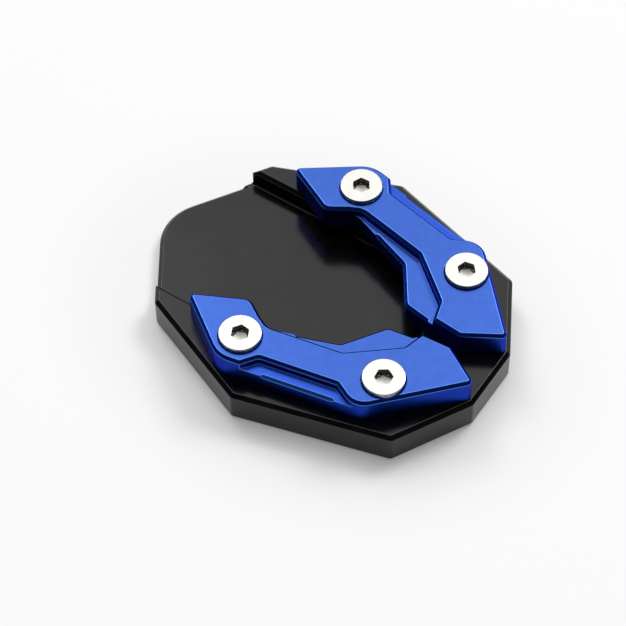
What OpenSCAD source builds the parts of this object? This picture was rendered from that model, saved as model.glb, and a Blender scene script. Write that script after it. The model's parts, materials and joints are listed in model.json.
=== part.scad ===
// Foot enlarger for a motorcycle side stand. A milled base plate takes the stand's own foot in a
// pocket that is open to the rear, and two mirrored clamps screw down over the edges of that foot.
// Frame: millimetres, origin under the middle of the plate, +X forward, +Y left, +Z up.

/* [Base plate] */
// Overall length of the plate
plate_l = 111.2; // [109:0.2:124]
// Width of the plate across its widest corners, before they are rounded
plate_w = 90; // [89:0.5:100]
// Thickness of the plate
plate_h = 11; // [9:0.25:16]
// Width of the straight front edge
front_edge_w = 20.2; // [19:0.2:40]
// How far behind the front edge the front shoulders lie
shoulder_setback = 12.7; // [9:0.1:16]
// Width of the plate across its front shoulders
shoulder_w = 65.4; // [64:0.2:76]
// How far behind the middle the widest corners lie
widest_x = 2.3; // [0:0.1:8]
// How far ahead of the rear end the rear corners lie
rear_corner_setback = 16.6; // [12:0.1:20]
// Width of the plate across its rear corners
rear_corner_w = 60.2; // [58:0.2:72]
// Radius of the rounded tongue at the rear
tongue_r = 15; // [8:0.5:20]
// Radius of the upright corners of the plate
plate_corner_r = 2; // [1.8:0.1:5]
// Bevel round the top edge of the plate
plate_bevel = 1.2; // [0.6:0.1:1.4]
// Break of the bottom edge of the plate
plate_break = 0.8; // [0.1:0.05:1.2]

/* [Foot pocket] */
// Width of the pocket between its walls
pocket_w = 49.6; // [42:0.2:51]
// Depth of the pocket below the top of the plate
pocket_depth = 6; // [4:0.25:7]
// Width of the plate left between its front edge and the round end of the pocket
front_wall = 25.2; // [24:0.2:30]
// Bevel along the top edge of the pocket wall
pocket_bevel = 1.1; // [0.4:0.1:1.4]
// Fillet at the foot of the pocket wall
pocket_fillet = 0.8; // [0.3:0.1:1.5]
// Bevel along the rear edge of the tongue
tongue_bevel = 1.1; // [0.4:0.1:1.3]
// Length of tongue edge that stays sharp beside each pocket wall
tongue_bevel_stop = 3; // [1:0.5:12]

/* [Clamps] */
// Thickness of a clamp
clamp_h = 8.5; // [7.5:0.25:12]
// Depth of the two milled steps below the top of a clamp
step_depth = 3; // [1.5:0.25:4]
// Bevel round the top edge of a clamp
clamp_bevel = 0.9; // [0.4:0.1:1]
// Bevel along the edge of the lobe, the low step over the pocket
lobe_bevel = 0.9; // [0.3:0.1:1]
// Bevel along the edge of the ledge, the low step on the outside
ledge_bevel = 0.8; // [0.3:0.1:0.9]
// Fillet at the foot of the two steps
step_fillet = 0.4; // [0.2:0.05:0.6]
// Break of the bottom edge of a clamp
clamp_break = 0.2; // [0.1:0.05:0.4]
// Radius of the boss round the rear screw
boss_r = 8.75; // [8.2:0.05:9.2]
// Radius of the shoulder outside the front screw
shoulder_r = 6.4; // [4:0.2:8]
// Width of the ledge outside its step
ledge_w = 3.9; // [2.5:0.1:4.4]
// How far the front corner of a clamp stays behind the front edge of the plate
front_margin = 0.7; // [0.4:0.1:3]
// Width of the gap between the clamps at its narrowest
nose_gap = 4.4; // [3:0.1:8]

/* [Screws] */
// How far behind the front edge of the plate the front screws lie
front_screw_setback = 22.2; // [20:0.1:24]
// How far behind the front screws the rear screws lie
screw_pitch = 41.5; // [39:0.1:44]
// Distance between the two front screws
front_screw_span = 43.8; // [41:0.1:46]
// Distance between the two rear screws
rear_screw_span = 62.5; // [60:0.1:64]
// Thread diameter of the screws
screw_d = 6; // [5:0.5:6]
// How far the end of a screw stays above the underside of the plate
screw_setback = 0.5; // [0.2:0.1:3]
// Diameter of a screw head
head_d = 12.3; // [10.5:0.1:12.6]
// How far a screw head stands above the clamp
head_proud = 1.3; // [0.2:0.1:1.5]
// Height of the straight land round a screw head
head_land = 1.6; // [1.5:0.1:1.9]
// Rounding of the top edge of a screw head
head_round = 0.3; // [0.1:0.05:0.5]
// Size of the hex socket across its flats
hex_af = 4; // [3:0.1:5]
// Depth of the hex socket
hex_depth = 2.6; // [2:0.1:3]

/* [Clearances] */
// Gap round the shank of a screw in the clamp
shank_gap = 0.2; // [0.1:0.05:0.4]
// Gap round the thread of a screw in the plate
thread_gap = 0.05; // [0.03:0.01:0.1]

/* [Hidden] */

// How far a cut passes through the surface that it opens
past = 0.4;
// Turn between two points of a rounded corner
arc_step = 7.5;
// Length that is sure to leave a clamp
far = 30;
// Bevel at the end of a screw's thread
thread_run = 0.8;
// Depth of the drilled point under a hex socket
socket_point = 0.5;
$fn = 72;

front_x = plate_l / 2;
rear_x = -plate_l / 2;
floor_z = plate_h - pocket_depth;
ledge_z = clamp_h - step_depth;
pocket_r = pocket_w / 2;
pocket_centre_x = front_x - front_wall - pocket_r;
shoulder_x = front_x - shoulder_setback;
rear_corner = [rear_x + rear_corner_setback, rear_corner_w / 2];
front_screw = [front_x - front_screw_setback, front_screw_span / 2];
rear_screw = [front_screw.x - screw_pitch, rear_screw_span / 2];

// Directions, all in degrees from +X

// Way that the outer side of a clamp faces
side_angle = 79;
// Way that the sloping rear side of a clamp faces
rear_angle = 125.3;
// Way that the front side of a clamp faces
front_angle = 43.3;
// Way that the inner side of a clamp faces behind the heel
heel_angle = -116;
// Way that the ledge's ramp up to the shoulder faces
ramp_angle = 116.6;
// Way that the wall at the rear end of the ledge faces
ledge_start_angle = 36;
// Way that the shoulder faces where the ledge runs out over the clamp's side
ledge_end_angle = 89;

// Small tools for outlines

function unit(angle) = [cos(angle), sin(angle)];

// Point where a line through p facing angle_p meets a line through q facing angle_q
function meet(p, angle_p, q, angle_q) =
    let(a = unit(angle_p), b = unit(angle_q), d = a.x * b.y - a.y * b.x)
    [(p * a) * b.y - (q * b) * a.y, (q * b) * a.x - (p * a) * b.x] / d;

// Corner whose rounding is centred on a point and turns from one facing to another
function about(centre, radius, from, to) =
    let(p = centre + radius * (unit(from) + unit(to)) / (1 + unit(from) * unit(to)))
    [p.x, p.y, radius];

function corner(p, radius = 0) = [p.x, p.y, radius];

// Normal of the edge from a to b that points to the left, into an anticlockwise outline
function inward(a, b) = [a.y - b.y, b.x - a.x] / norm([b.x - a.x, b.y - a.y]);

function turned(v, angle) = [
    v.x * cos(angle) - v.y * sin(angle),
    v.x * sin(angle) + v.y * cos(angle)];

// Points of one corner of an outline that is moved inwards by inset
function corner_points(before, here, after, inset) =
    let(
        n1 = inward(before, here),
        n2 = inward(here, after),
        mitre = (n1 + n2) / (1 + n1 * n2),
        side = sign(n1.x * n2.y - n1.y * n2.x),
        turn = acos(n1 * n2),
        steps = 2 * ceil(turn / (2 * arc_step)),
        radius = here[2],
        place = [here.x, here.y])
    radius == 0
        ? [place + inset * mitre]
        : [for (k = [0:steps])
            let(n = turned(n1, side * turn * k / steps))
            place + side * radius * (mitre - n) + inset * n];

// Outline through a list of corners [x, y, radius] in anticlockwise order, moved inwards by inset
function outline(corners, inset = 0) =
    let(count = len(corners))
    [for (i = [0:count - 1]) each corner_points(
        corners[(i + count - 1) % count], corners[i], corners[(i + 1) % count], inset)];

// Solid through one outline that is moved inwards by a given amount at each level.
// A level is [height, inset]
module stacked(corners, levels) {
    rings = [for (level = levels) outline(corners, level[1])];
    count = len(rings[0]);
    last = (len(levels) - 1) * count;
    points = [for (i = [0:len(levels) - 1]) for (p = rings[i]) [p.x, p.y, levels[i][0]]];
    faces = [
        [for (i = [0:count - 1]) i],
        [for (i = [count - 1:-1:0]) last + i],
        for (level = [0:len(levels) - 2]) for (i = [0:count - 1])
            let(a = level * count + i, b = level * count + (i + 1) % count)
            [a, a + count, b + count, b]];
    polyhedron(points, faces, convexity = 6);
}

// Slab that stands on height 0, with its bottom and top edges bevelled all round
module slab(corners, height, bottom_bevel, top_bevel) {
    intersection() {
        stacked(corners, [
            [-past, bottom_bevel + past],
            [bottom_bevel, 0],
            [height - top_bevel, 0],
            [height + past, top_bevel + past]]);
        translate([-plate_l, -plate_l, 0])
        cube([2 * plate_l, 2 * plate_l, height]);
    }
}

// Everything in a zone that lies outside the bevel of an outline whose top edge is at height top.
// The bevel runs out at the sides of run, an outline that widens upwards like the cutter
module bevel_cut(corners, top, bevel, run) {
    difference() {
        intersection() {
            translate([0, 0, top - bevel])
            linear_extrude(bevel + past / 2)
            children();
            stacked(run, [[top - bevel, 0], [top + past, -bevel - past]]);
        }
        stacked(corners, [[top - 2 * bevel, 0], [top - bevel, 0], [top + past, bevel + past]]);
    }
}

// Base plate

// The tongue's two edges run from the rear corners to touch its rounded end
function tongue_corner_x() =
    let(
        v = rear_corner - [rear_x + tongue_r, 0],
        slope = atan2(v.y, v.x) - asin(tongue_r / norm(v)))
    rear_corner.x - rear_corner.y / tan(slope);

plate_corners = [
    [tongue_corner_x(), 0, tongue_r],
    [rear_corner.x, -rear_corner.y, plate_corner_r],
    [-widest_x, -plate_w / 2, plate_corner_r],
    [shoulder_x, -shoulder_w / 2, plate_corner_r],
    [front_x, -front_edge_w / 2, plate_corner_r],
    [front_x, front_edge_w / 2, plate_corner_r],
    [shoulder_x, shoulder_w / 2, plate_corner_r],
    [-widest_x, plate_w / 2, plate_corner_r],
    [rear_corner.x, rear_corner.y, plate_corner_r]];

// Half of the pocket's cross-section, out from its middle: floor, fillet, wall and bevel
pocket_half = [
    [0, floor_z],
    for (t = [0:15:90])
        [pocket_r - pocket_fillet * (1 - sin(t)), floor_z + pocket_fillet * (1 - cos(t))],
    [pocket_r, plate_h - pocket_bevel],
    [pocket_r + pocket_bevel + past, plate_h + past],
    [0, plate_h + past]];

// Round front end of the pocket, and its straight channel out to the rear
module pocket() {
    translate([pocket_centre_x, 0, 0]) {
        rotate_extrude(angle = 180, start = -90)
        polygon(pocket_half);

        for (side = [0, 1]) mirror([0, side, 0])
        rotate([90, 0, -90])
        linear_extrude(pocket_centre_x - rear_x + far)
        mirror([1, 0])
        polygon(pocket_half);
    }
}

// The bevel along the tongue stops where the milling cutter would touch the pocket walls
module tongue_edge() {
    half = pocket_r - tongue_bevel_stop;
    run = [
        [rear_x - far, -half, 0],
        [rear_corner.x, -half, 0],
        [rear_corner.x, half, 0],
        [rear_x - far, half, 0]];
    bevel_cut(plate_corners, floor_z, tongue_bevel, run)
    translate([rear_x - far, -pocket_r])
    square([rear_corner.x - rear_x + far, pocket_w]);
}

module at_screws() {
    for (place = [rear_screw, front_screw], side = [-1, 1])
    translate([place.x, side * place.y, 0])
    children();
}

module tapped_hole() {
    r = screw_d / 2 + thread_gap;
    translate([0, 0, -past]) {
        cylinder(r = r, h = plate_h + 2 * past);
        cylinder(r1 = r + plate_break + past, r2 = r, h = plate_break + past);
    }
}

module base_plate() {
    color([0.1, 0.1, 0.11])
    difference() {
        slab(plate_corners, plate_h, plate_break, plate_bevel);
        pocket();
        tongue_edge();
        at_screws() tapped_hole();
    }
}

// Clamp, drawn for the left side with its underside at height 0

// Its outer and front sides meet at the shoulder, and the boss rounds its rear corner
side_point = rear_screw + boss_r * unit(side_angle);
front_corner = [front_x - front_margin, front_edge_w / 2 - 1];
shoulder = corner(meet(side_point, side_angle, front_corner, front_angle), shoulder_r);
shoulder_centre = [shoulder.x, shoulder.y]
    - shoulder_r * (unit(side_angle) + unit(front_angle)) / (1 + cos(side_angle - front_angle));

// Its inner side runs from the tip at the rear over the lobe to the nose at the front
heel = rear_screw + [-4.8, -12.25];
tip = meet(rear_screw + boss_r * unit(rear_angle), rear_angle, heel, heel_angle);
lobe_start = rear_screw + [3.1, -7.25];
lobe_side = front_screw + [-17.7, -5.5];
lobe_front = [front_screw.x - 9.6, nose_gap / 2 + 2.25];
nose_rear = [front_screw.x + 0.3, nose_gap / 2 + 0.7];
nose_front = [front_screw.x + 9.8, nose_gap / 2];

clamp_corners = [
    corner(tip, 1.4),
    corner(heel, 3.4),
    corner(lobe_start, 5.1),
    corner(lobe_side, 2.4),
    corner(lobe_front, 2.9),
    corner(nose_rear),
    corner(nose_front),
    corner(front_corner, 1.5),
    shoulder,
    about(rear_screw, boss_r, side_angle, rear_angle)];

// Area of the step over the lobe, out past the clamp's inner side
step_start = rear_screw + [4, -6.7];
step_bend = front_screw + [-14.6, -1.75];
step_foot = nose_rear + [-1.5, 6.35];
step_end = nose_rear + [0.3, 0];
lobe_area = [
    corner(step_start, 5.1),
    corner(step_start - far * unit(38)),
    corner(step_start - far * unit(38) - [0, far]),
    corner(step_end - 2 * (step_foot - step_end)),
    corner(step_foot, 1.6),
    corner(step_bend, 2.1)];

// Area of the ledge, out past the clamp's outer side. Its rear wall touches the boss
ledge_point = side_point - ledge_w * unit(side_angle);
ledge_rear = rear_screw + boss_r * unit(ledge_start_angle);
ledge_end = shoulder_centre + shoulder_r * unit(ledge_end_angle) + far * unit(ledge_end_angle - 90);
ledge_area = [
    corner(meet(ledge_rear, ledge_start_angle, side_point + far * unit(side_angle), side_angle)),
    corner(meet(ledge_rear, ledge_start_angle, ledge_point, side_angle), 1.6),
    corner(meet(ledge_point, side_angle,
        shoulder_centre + shoulder_r * unit(ramp_angle), ramp_angle), 1.1),
    about(shoulder_centre, shoulder_r, ramp_angle, ledge_end_angle),
    corner(ledge_end),
    corner(ledge_end + far * unit(side_angle))];

// Milled step: flat floor, fillet at the foot of its wall, and bevel along the wall's top edge
module step_cut(area) {
    stacked(area, [
        for (t = [0:30:90]) [ledge_z + step_fillet * (1 - cos(t)), step_fillet * (1 - sin(t))],
        [clamp_h - clamp_bevel, 0],
        [clamp_h + past, -clamp_bevel - past]]);
}

// The bevels of the lobe and the ledge stop short of the walls that they run up to. A run's sides
// lie halfway between the way along the clamp's edge and the way into the clamp
lobe_stop = nose_rear + 2.4 * (lobe_front - nose_rear) / norm(lobe_front - nose_rear);
lobe_stop_angle = 36;
lobe_run = [
    corner(lobe_stop + far * unit(lobe_stop_angle - 90)),
    corner(lobe_stop + far * unit(lobe_stop_angle + 90)),
    corner(lobe_stop + far * (unit(lobe_stop_angle + 90) - 2 * unit(lobe_stop_angle))),
    corner(lobe_stop + far * (unit(lobe_stop_angle - 90) - 2 * unit(lobe_stop_angle)))];

ledge_start = meet(side_point, side_angle, [ledge_rear.x + 5, 0], 0);
ledge_stop = meet(side_point, side_angle, [shoulder.x - 9.4, 0], 0);
ledge_run = [
    corner(meet(ledge_start, side_angle + 135, ledge_stop, side_angle - 135)),
    corner(ledge_stop + far * unit(side_angle - 45)),
    corner(ledge_start + far * unit(side_angle + 45))];

module lobe_edge() {
    bevel_cut(clamp_corners, ledge_z, lobe_bevel, lobe_run)
    polygon(outline(lobe_area));
}

module ledge_edge() {
    bevel_cut(clamp_corners, ledge_z, ledge_bevel, ledge_run)
    polygon(outline(ledge_area));
}

// Countersink that takes the cone of a screw head, with the shank's hole below it
module screw_seat() {
    depth = head_land - head_proud;
    translate([0, 0, -past])
    cylinder(r = screw_d / 2 + shank_gap, h = clamp_h + 2 * past);
    translate([0, 0, clamp_h - depth - head_d / 2])
    cylinder(r1 = 0, r2 = head_d / 2 + depth + past, h = head_d / 2 + depth + past);
}

module clamp() {
    color([0.1, 0.25, 0.8])
    translate([0, 0, plate_h])
    difference() {
        slab(clamp_corners, clamp_h, clamp_break, clamp_bevel);
        step_cut(lobe_area);
        step_cut(ledge_area);
        lobe_edge();
        ledge_edge();
        for (place = [rear_screw, front_screw])
        translate([place.x, place.y, 0])
        screw_seat();
    }
}

module clamp_left() {
    clamp();
}

module clamp_right() {
    mirror([0, 1, 0])
    clamp();
}

// Flat-headed screw with a hex socket

head_top_z = plate_h + clamp_h + head_proud;

module screw(place, turn) {
    r = screw_d / 2;
    head_r = head_d / 2;
    land_z = head_top_z - head_land;
    color([0.8, 0.8, 0.78])
    translate([place.x, place.y, 0])
    rotate(turn)
    difference() {
        rotate_extrude()
        polygon([
            [0, screw_setback],
            [r - thread_run, screw_setback],
            [r, screw_setback + thread_run],
            [r, land_z - head_r + r],
            [head_r, land_z],
            for (t = [0:22.5:90])
                [head_r - head_round * (1 - cos(t)), head_top_z - head_round * (1 - sin(t))],
            [0, head_top_z]]);
        translate([0, 0, head_top_z - hex_depth])
        cylinder(d = hex_af / cos(30), h = hex_depth + past, $fn = 6);
        translate([0, 0, head_top_z - hex_depth - socket_point])
        cylinder(r1 = 0, r2 = hex_af / 2, h = socket_point);
    }
}

module screw_front_left() {
    screw(front_screw, 11);
}

module screw_front_right() {
    screw([front_screw.x, -front_screw.y], 34);
}

module screw_rear_left() {
    screw(rear_screw, 4);
}

module screw_rear_right() {
    screw([rear_screw.x, -rear_screw.y], 54);
}

base_plate();
clamp_left();
clamp_right();
screw_front_left();
screw_front_right();
screw_rear_left();
screw_rear_right();
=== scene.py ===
"""Looks of a side-stand foot enlarger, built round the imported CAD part. Lengths are in metres."""
import json
import math

import bmesh
import bpy
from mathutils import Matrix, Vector


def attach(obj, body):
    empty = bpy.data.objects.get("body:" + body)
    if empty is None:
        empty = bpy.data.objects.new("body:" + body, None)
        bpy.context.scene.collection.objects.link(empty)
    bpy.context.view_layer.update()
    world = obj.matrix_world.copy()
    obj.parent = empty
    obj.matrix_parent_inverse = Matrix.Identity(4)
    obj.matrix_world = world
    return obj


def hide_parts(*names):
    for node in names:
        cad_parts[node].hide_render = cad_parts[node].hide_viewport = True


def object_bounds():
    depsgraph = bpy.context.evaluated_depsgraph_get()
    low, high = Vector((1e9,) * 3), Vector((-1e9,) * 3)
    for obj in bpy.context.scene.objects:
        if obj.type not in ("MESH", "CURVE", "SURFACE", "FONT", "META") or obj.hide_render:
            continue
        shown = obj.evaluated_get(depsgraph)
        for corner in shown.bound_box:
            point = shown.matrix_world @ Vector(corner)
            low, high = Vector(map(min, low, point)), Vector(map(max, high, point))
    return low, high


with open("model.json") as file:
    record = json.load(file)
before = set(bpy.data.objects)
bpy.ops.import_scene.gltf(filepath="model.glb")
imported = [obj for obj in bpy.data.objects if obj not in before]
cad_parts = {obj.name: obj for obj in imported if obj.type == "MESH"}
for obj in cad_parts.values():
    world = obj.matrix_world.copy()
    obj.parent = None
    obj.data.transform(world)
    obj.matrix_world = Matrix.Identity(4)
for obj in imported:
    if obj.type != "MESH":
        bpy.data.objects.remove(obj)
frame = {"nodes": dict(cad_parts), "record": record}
cad_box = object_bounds()

MM = 0.001

# Camera, solved from the photograph, with the picture taken as 626 x 626 pixels
PICTURE = 626
FOCAL_PX = 2401.2
CENTRE_SHIFT_PX = (4.7, 2.2)
CAMERA_AZIMUTH = -56.21
CAMERA_ELEVATION = 54.67
CAMERA_ROLL = -0.55
CAMERA_DISTANCE = 697.8 * MM
AIM = Vector((-1.40, -2.27, 0)) * MM
SENSOR = 36.0
CLIP = (0.01, 20)

# Cleaning and rounding of the pieces
WELD = 0.012 * MM
FLAT_ANGLE = math.radians(0.6)
SHARP_ANGLE = math.radians(33)
EDGE_ROUND = {"black_anodised": 0.14 * MM, "blue_anodised": 0.16 * MM, "stainless": 0.08 * MM}
NORMAL_WEIGHT = 80

# Worn sockets. Reach is the distance from the screw's axis, and depth the distance below its top
SOCKET_ROUND = 0.12 * MM
SOCKET_WIDER = 1.18
SOCKET_REACH = 2.6 * MM
SOCKET_DEPTH = 4 * MM
SOCKET_MOUTH_DEPTH = 0.05 * MM
SOCKET_FLOOR_DEPTH = 1.5 * MM
SEAT_REACH = 6.9 * MM

# Outer ledges, by their depth below a clamp's top and their distance from the middle plane
LEDGE_DEPTH = 0.9 * MM
LEDGE_FROM = 24 * MM

# Upward share of a face's normal, by which walls, bevelled rims and level faces are told apart
SOCKET_WALL_BELOW = 0.5
RIM_ABOVE = 0.3
LEVEL_ABOVE = 0.9

# Finishes. A shade is the darkest share of a colour, patches and grain are noise with scale per
# metre, detail and roughness, and a bump is its height and strength
BLACK = (0.0050, 0.0050, 0.0054)
# Painted highlight: a lighter colour on the rounded edges
BLACK_EDGE_HIGHLIGHT = (0.040, 0.040, 0.042)
BLACK_SHADE = 0.0
BLACK_PATCHES = (130, 6, 0.6)
BLACK_GRAIN = (2000, 4, 0.6)
BLACK_BUMP = (0.010 * MM, 0.6)
BLACK_ROUGH = (0.15, 0.19)
BLACK_IOR = 1.375

BLUE = (0.033, 0.088, 0.37)
# Painted shade: a darker, deeper blue on the walls and chamfers than on the tops
BLUE_SIDE_PAINTED_SHADE = (0.011, 0.054, 0.45)
# Painted shade: a darker blue on the outer ledges below the step walls
BLUE_LEDGE_PAINTED_SHADE = (0.017, 0.062, 0.37)
# Painted highlight: a much lighter blue on the rims of the outer ledges
BLUE_RIM_HIGHLIGHT = (0.05, 0.28, 0.98)
# Painted highlight: a lighter blue on the rounded edges
BLUE_EDGE_HIGHLIGHT = (0.075, 0.20, 0.74)
BLUE_GRAZING = (0.05, 0.16, 0.65)
BLUE_SHADE = 0.86
BLUE_PATCHES = (420, 6, 0.65)
BLUE_GRAIN = (2600, 4, 0.6)
BLUE_BUMP = (0.014 * MM, 0.7)
BLUE_ROUGH = (0.30, 0.36)
COAT = 0.15
COAT_ROUGH = 0.2
COAT_IOR = 1.5

STEEL = (0.55, 0.545, 0.52)
# Painted shade on the socket's steep walls
SOCKET_WALL_PAINTED_SHADE = (0.10, 0.09, 0.08)
# Painted light on the socket's floor
SOCKET_FLOOR_PAINTED_LIGHT = (0.82, 0.80, 0.74)
SOCKET_FLOOR_ROUGHER = 0.35
STEEL_SHADE = 0.94
STEEL_PATCHES = (300, 3, 0.5)
STEEL_GRAIN = (5000, 2, 0.5)
STEEL_BUMP = (0.002 * MM, 0.4)
STEEL_ROUGH = (0.24, 0.30)

# Floor, and its share of plain white, which grows with the distance in half-sizes of the object
FLOOR = (0.96, 0.96, 0.96)
FLOOR_SIZE = 6
FLOOR_ROUGH = 0.9
WHITE_NEAR = 0.2
WHITE_FAR = 0.7
WHITE_FROM = 1.05
WHITE_FULL = 1.7

# Light: a sky that is bright behind and above and dark towards the camera, with its full bright
# cap and the end of its fade as angles, and two lamps, as azimuth and power
SKY_AZIMUTH = 124
SKY_ELEVATION = 66
SKY_BRIGHT = 1.8
SKY_DARK = 0.06
SKY_FULL = math.radians(12)
SKY_END = math.radians(54)
LAMP_SIZE = 0.4
LAMP_DISTANCE = 1.2
LAMP_ELEVATION = 50
LAMPS = {"left": (155, 2.5), "right": (78, 5.0)}


def direction(azimuth, elevation):
    """Unit vector that way, from angles in degrees."""
    a = math.radians(azimuth)
    e = math.radians(elevation)
    return Vector((math.cos(e) * math.cos(a), math.cos(e) * math.sin(a), math.sin(e)))


def new_material(name):
    """A node material, with its tree and its Principled shader."""
    material = bpy.data.materials.new(name)
    material.use_nodes = True
    tree = material.node_tree
    return material, tree, tree.nodes["Principled BSDF"]


def node(tree, kind, **settings):
    """A node of that kind. A setting whose name is a socket's goes to the socket."""
    made = tree.nodes.new(kind)
    for key, value in settings.items():
        if key in made.inputs:
            made.inputs[key].default_value = value
        else:
            setattr(made, key, value)
    return made


def noise(tree, scale, detail, roughness):
    """Noise through the object's own coordinates."""
    place = node(tree, "ShaderNodeTexCoord")
    made = node(tree, "ShaderNodeTexNoise", Scale=scale, Detail=detail, Roughness=roughness)
    tree.links.new(place.outputs["Object"], made.inputs["Vector"])
    return made.outputs["Fac"]


def mapped(tree, value, low=0.0, high=1.0, start=0.3, end=0.7, curve="LINEAR"):
    """The value, spread from start..end to low..high. Noise lies mostly within 0.3..0.7."""
    made = node(tree, "ShaderNodeMapRange", interpolation_type=curve)
    made.inputs["From Min"].default_value = start
    made.inputs["From Max"].default_value = end
    made.inputs["To Min"].default_value = low
    made.inputs["To Max"].default_value = high
    tree.links.new(value, made.inputs["Value"])
    return made.outputs["Result"]


def bump(tree, shader, height, distance, strength):
    made = node(tree, "ShaderNodeBump", Distance=distance, Strength=strength)
    tree.links.new(height, made.inputs["Height"])
    tree.links.new(made.outputs["Normal"], shader.inputs["Normal"])


def tinted(tree, shader, colour, shade, value, marked):
    """Base colour that drifts between two shades, with other colours on the marked faces."""
    mix = node(tree, "ShaderNodeMix", data_type="RGBA")
    mix.inputs["A"].default_value = (*[c * shade for c in colour], 1)
    mix.inputs["B"].default_value = (*colour, 1)
    tree.links.new(value, mix.inputs["Factor"])
    for name, other in marked.items():
        mark = node(tree, "ShaderNodeAttribute", attribute_name=name)
        below = mix
        mix = node(tree, "ShaderNodeMix", data_type="RGBA")
        mix.inputs["B"].default_value = (*other, 1)
        tree.links.new(mark.outputs["Fac"], mix.inputs["Factor"])
        tree.links.new(below.outputs["Result"], mix.inputs["A"])
    tree.links.new(mix.outputs["Result"], shader.inputs["Base Color"])


def black_anodised():
    """Fine bead-blasted, black dyed and sealed oxide: a dark body under a satin clear layer."""
    material, tree, shader = new_material("black_anodised")
    shader.inputs["Metallic"].default_value = 0.0
    shader.inputs["IOR"].default_value = BLACK_IOR
    patches = noise(tree, *BLACK_PATCHES)
    # The rounded edges get a painted highlight
    tinted(tree, shader, BLACK, BLACK_SHADE, mapped(tree, patches), {"edge": BLACK_EDGE_HIGHLIGHT})
    tree.links.new(mapped(tree, patches, *BLACK_ROUGH), shader.inputs["Roughness"])
    bump(tree, shader, noise(tree, *BLACK_GRAIN), *BLACK_BUMP)
    return material


def blue_anodised():
    """Bead-blasted aluminium under a clear blue oxide, so that its reflections are blue."""
    material, tree, shader = new_material("blue_anodised")
    shader.inputs["Metallic"].default_value = 1.0
    shader.inputs["Specular Tint"].default_value = (*BLUE_GRAZING, 1)
    shader.inputs["Coat Weight"].default_value = COAT
    shader.inputs["Coat Roughness"].default_value = COAT_ROUGH
    shader.inputs["Coat IOR"].default_value = COAT_IOR
    patches = noise(tree, *BLUE_PATCHES)
    # Walls and ledges get painted shade, and ledge rims and rounded edges get painted highlights
    tinted(tree, shader, BLUE, BLUE_SHADE, mapped(tree, patches), {
        "side": BLUE_SIDE_PAINTED_SHADE, "ledge": BLUE_LEDGE_PAINTED_SHADE, "rim_highlight": BLUE_RIM_HIGHLIGHT, "edge": BLUE_EDGE_HIGHLIGHT})
    tree.links.new(mapped(tree, patches, *BLUE_ROUGH), shader.inputs["Roughness"])
    bump(tree, shader, noise(tree, *BLUE_GRAIN), *BLUE_BUMP)
    return material


def stainless():
    """Bright stainless steel, turned and tumbled."""
    material, tree, shader = new_material("stainless")
    shader.inputs["Metallic"].default_value = 1.0
    patches = noise(tree, *STEEL_PATCHES)
    # The socket's walls get painted shade, and its floor painted light
    tinted(tree, shader, STEEL, STEEL_SHADE, patches, {"side": SOCKET_WALL_PAINTED_SHADE, "lit_rough_floor": SOCKET_FLOOR_PAINTED_LIGHT})
    lit_rough_floor = node(tree, "ShaderNodeAttribute", attribute_name="lit_rough_floor")
    rough = node(tree, "ShaderNodeMath", operation="MULTIPLY_ADD")
    rough.inputs[1].default_value = SOCKET_FLOOR_ROUGHER
    tree.links.new(lit_rough_floor.outputs["Fac"], rough.inputs[0])
    tree.links.new(mapped(tree, patches, *STEEL_ROUGH), rough.inputs[2])
    tree.links.new(rough.outputs[0], shader.inputs["Roughness"])
    bump(tree, shader, noise(tree, *STEEL_GRAIN), *STEEL_BUMP)
    return material


def rounded(shape, edges, offset):
    """Rounds the edges, and returns the faces of the rounding."""
    return bmesh.ops.bevel(
        shape, geom=edges, affect="EDGES", offset=offset, offset_type="OFFSET",
        segments=2, profile=0.5, clamp_overlap=False)["faces"]


def sharp_edges(shape):
    return [
        e for e in shape.edges
        if len(e.link_faces) == 2 and e.calc_face_angle(0) > SHARP_ANGLE]


def top_of(shape):
    return max(v.co.z for v in shape.verts)


def screw_axis(vertices):
    """Where a screw stands, from its round head."""
    xs = [v.co.x for v in vertices]
    ys = [v.co.y for v in vertices]
    return Vector(((min(xs) + max(xs)) / 2, (min(ys) + max(ys)) / 2))


def socket_mouth(shape, axis, edges):
    """The edges round the mouth of a screw's socket."""
    top = top_of(shape)
    return [
        e for e in edges
        if all(v.co.z > top - SOCKET_MOUTH_DEPTH for v in e.verts)
        and all((v.co.xy - axis).length < SOCKET_REACH for v in e.verts)]


def widen_socket(shape, axis):
    """The socket as wide as in the photograph, where its mouth is worn."""
    top = top_of(shape)
    for v in shape.verts:
        away = v.co.xy - axis
        if v.co.z > top - SOCKET_DEPTH and away.length < SOCKET_REACH:
            v.co.xy = axis + SOCKET_WIDER * away


def mark_socket(shape, axis):
    """The steep walls of the socket get painted shade, and its floor, rough from drilling, gets
    painted light.
    """
    side = shape.faces.layers.float.new("side")
    lit_rough_floor = shape.faces.layers.float.new("lit_rough_floor")
    top = top_of(shape)
    for face in shape.faces:
        middle = face.calc_center_median()
        inside = (middle.xy - axis).length < SOCKET_REACH and middle.z > top - SOCKET_DEPTH
        if inside and abs(face.normal.z) < SOCKET_WALL_BELOW:
            face[side] = 1.0
        elif inside and middle.z < top - SOCKET_FLOOR_DEPTH:
            face[lit_rough_floor] = 1.0


def mark_sides(shape):
    """The milled walls, outer ledges and their rims, marked for painted shade on the walls and
    ledges and a painted highlight on the rims.
    """
    side = shape.faces.layers.float.new("side")
    ledge = shape.faces.layers.float.new("ledge")
    rim_highlight = shape.faces.layers.float.new("rim_highlight")
    top = top_of(shape)
    for face in shape.faces:
        middle = face.calc_center_median()
        low = middle.z < top - LEDGE_DEPTH and abs(middle.y) > LEDGE_FROM
        if abs(face.normal.z) < LEVEL_ABOVE:
            face[side] = 1.0
            if low and face.normal.z > RIM_ABOVE:
                face[rim_highlight] = 1.0
        elif low:
            face[ledge] = 1.0


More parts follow.
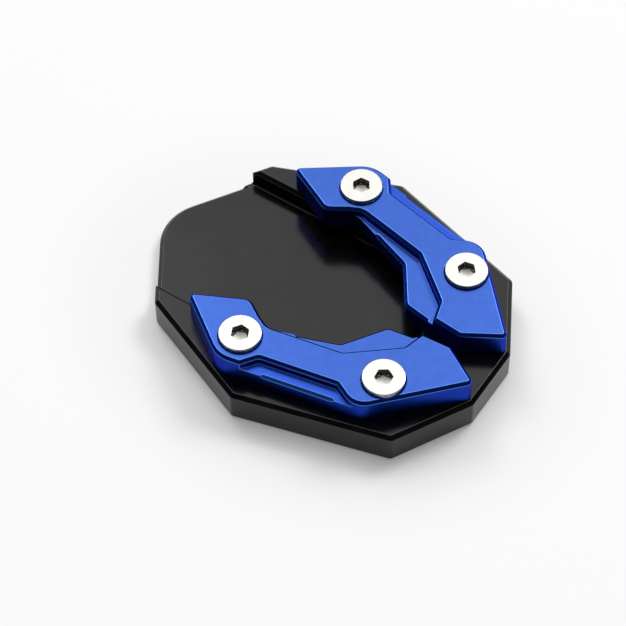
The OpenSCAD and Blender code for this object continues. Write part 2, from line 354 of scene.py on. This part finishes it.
def round_and_mark(shape, offset):
    """Rounds the sharp edges and marks them for a painted highlight, but not round the screws."""
    screws = [
        screw_axis(other.data.vertices) for key, other in frame["nodes"].items()
        if key.startswith("screw")]
    edge = shape.faces.layers.float.new("edge")
    for face in rounded(shape, sharp_edges(shape), offset):
        middle = face.calc_center_median().xy
        face[edge] = float(all((middle - place).length > SEAT_REACH for place in screws))


def dressed(name, slot, material):
    """A node's shape with small round edges, which stands for the node."""
    source = frame["nodes"][name]
    mesh = source.data.copy()
    mesh.name = name + "_dressed"
    shape = bmesh.new()
    shape.from_mesh(mesh)
    bmesh.ops.remove_doubles(shape, verts=shape.verts, dist=WELD)
    bmesh.ops.dissolve_degenerate(shape, edges=shape.edges, dist=WELD)
    bmesh.ops.dissolve_limit(
        shape, angle_limit=FLAT_ANGLE, verts=shape.verts, edges=shape.edges)
    if slot == "stainless":
        axis = screw_axis(shape.verts)
        widen_socket(shape, axis)
        rounded(shape, socket_mouth(shape, axis, sharp_edges(shape)), SOCKET_ROUND)
        rounded(shape, sharp_edges(shape), EDGE_ROUND[slot])
        mark_socket(shape, axis)
    else:
        mark_sides(shape)
        round_and_mark(shape, EDGE_ROUND[slot])
    for face in shape.faces:
        face.smooth = True
    shape.to_mesh(mesh)
    shape.free()
    mesh.materials.clear()
    mesh.materials.append(material)
    piece = bpy.data.objects.new(name + "_dressed", mesh)
    bpy.context.scene.collection.objects.link(piece)
    weighted = piece.modifiers.new("weighted", "WEIGHTED_NORMAL")
    weighted.mode = "FACE_AREA"
    weighted.weight = NORMAL_WEIGHT
    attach(piece, "root")
    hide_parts(name)


def add_pieces():
    slots = {part["node"]: part["material_slot"] for part in frame["record"]["subparts"]}
    makers = (black_anodised, blue_anodised, stainless)
    materials = {maker.__name__: maker() for maker in makers}
    for name, slot in slots.items():
        dressed(name, slot, materials[slot])


def whiten(tree, shader):
    """Plain white over the floor, more of it away from the object, for camera, metal and glass."""
    rays = node(tree, "ShaderNodeLightPath")
    seen = rays.outputs["Is Camera Ray"]
    for kind in ("Is Glossy Ray", "Is Transmission Ray"):
        either = node(tree, "ShaderNodeMath", operation="MAXIMUM")
        tree.links.new(seen, either.inputs[0])
        tree.links.new(rays.outputs[kind], either.inputs[1])
        seen = either.outputs[0]
    place = node(tree, "ShaderNodeTexCoord")
    sizes = node(tree, "ShaderNodeVectorMath", operation="DIVIDE")
    sizes.inputs[1].default_value = (*cad_box[1][:2], 1)
    tree.links.new(place.outputs["Object"], sizes.inputs[0])
    away = node(tree, "ShaderNodeVectorMath", operation="LENGTH")
    tree.links.new(sizes.outputs["Vector"], away.inputs[0])
    fade = mapped(
        tree, away.outputs["Value"], WHITE_NEAR, WHITE_FAR, WHITE_FROM, WHITE_FULL, "SMOOTHSTEP")
    share = node(tree, "ShaderNodeMath", operation="MULTIPLY")
    tree.links.new(seen, share.inputs[0])
    tree.links.new(fade, share.inputs[1])
    white = node(tree, "ShaderNodeEmission", Strength=1.0)
    white.inputs["Color"].default_value = (1, 1, 1, 1)
    mix = node(tree, "ShaderNodeMixShader")
    tree.links.new(share.outputs[0], mix.inputs[0])
    tree.links.new(shader.outputs["BSDF"], mix.inputs[1])
    tree.links.new(white.outputs["Emission"], mix.inputs[2])
    out = tree.nodes["Material Output"]
    tree.links.new(mix.outputs["Shader"], out.inputs["Surface"])


def add_floor():
    bpy.ops.mesh.primitive_plane_add(size=FLOOR_SIZE)
    floor = bpy.context.object
    floor.name = "floor"
    material, tree, shader = new_material("floor")
    shader.inputs["Base Color"].default_value = (*FLOOR, 1)
    shader.inputs["Roughness"].default_value = FLOOR_ROUGH
    shader.inputs["Specular IOR Level"].default_value = 0.0
    whiten(tree, shader)
    floor.data.materials.append(material)


def add_lamps():
    """Square softboxes that face the object."""
    for name, (azimuth, power) in LAMPS.items():
        data = bpy.data.lights.new(name, "AREA")
        data.shape = "SQUARE"
        data.size = LAMP_SIZE
        data.energy = power
        lamp = bpy.data.objects.new(name, data)
        bpy.context.scene.collection.objects.link(lamp)
        way = direction(azimuth, LAMP_ELEVATION)
        lamp.location = LAMP_DISTANCE * way
        lamp.rotation_euler = way.to_track_quat("Z", "Y").to_euler()


def add_world():
    """A sky that is bright behind and above the object and dark on the camera's side."""
    world = bpy.data.worlds.new("studio")
    bpy.context.scene.world = world
    world.use_nodes = True
    tree = world.node_tree
    tree.nodes.clear()
    place = node(tree, "ShaderNodeTexCoord")
    toward = node(tree, "ShaderNodeVectorMath", operation="DOT_PRODUCT")
    toward.inputs[1].default_value = direction(SKY_AZIMUTH, SKY_ELEVATION)
    tree.links.new(place.outputs["Generated"], toward.inputs[0])
    angle = node(tree, "ShaderNodeMath", operation="ARCCOSINE")
    tree.links.new(toward.outputs["Value"], angle.inputs[0])
    level = mapped(
        tree, angle.outputs[0], SKY_BRIGHT, SKY_DARK, SKY_FULL, SKY_END, "SMOOTHSTEP")
    light = node(tree, "ShaderNodeBackground")
    light.inputs["Color"].default_value = (1, 1, 1, 1)
    tree.links.new(level, light.inputs["Strength"])
    out = node(tree, "ShaderNodeOutputWorld")
    tree.links.new(light.outputs["Background"], out.inputs["Surface"])


def add_camera():
    """The camera, which looks down -Z of its own axes, with roll about its line of sight."""
    roll = math.radians(CAMERA_ROLL)
    back = direction(CAMERA_AZIMUTH, CAMERA_ELEVATION)
    level_right = direction(CAMERA_AZIMUTH + 90, 0)
    up = back.cross(level_right)
    right = math.cos(roll) * level_right + math.sin(roll) * up
    up = back.cross(right)
    data = bpy.data.cameras.new("camera")
    data.sensor_width = SENSOR
    data.lens = FOCAL_PX / PICTURE * SENSOR
    data.shift_x = -CENTRE_SHIFT_PX[0] / PICTURE
    data.shift_y = CENTRE_SHIFT_PX[1] / PICTURE
    data.clip_start, data.clip_end = CLIP
    camera = bpy.data.objects.new("camera", data)
    bpy.context.scene.collection.objects.link(camera)
    camera.location = AIM + CAMERA_DISTANCE * back
    turn = camera.rotation_euler.to_matrix()
    turn.col[0] = right
    turn.col[1] = up
    turn.col[2] = back
    camera.rotation_euler = turn.to_euler()
    bpy.context.scene.camera = camera


add_camera()
add_pieces()
add_floor()
add_lamps()
add_world()
bpy.context.scene.view_settings.view_transform = "Standard"
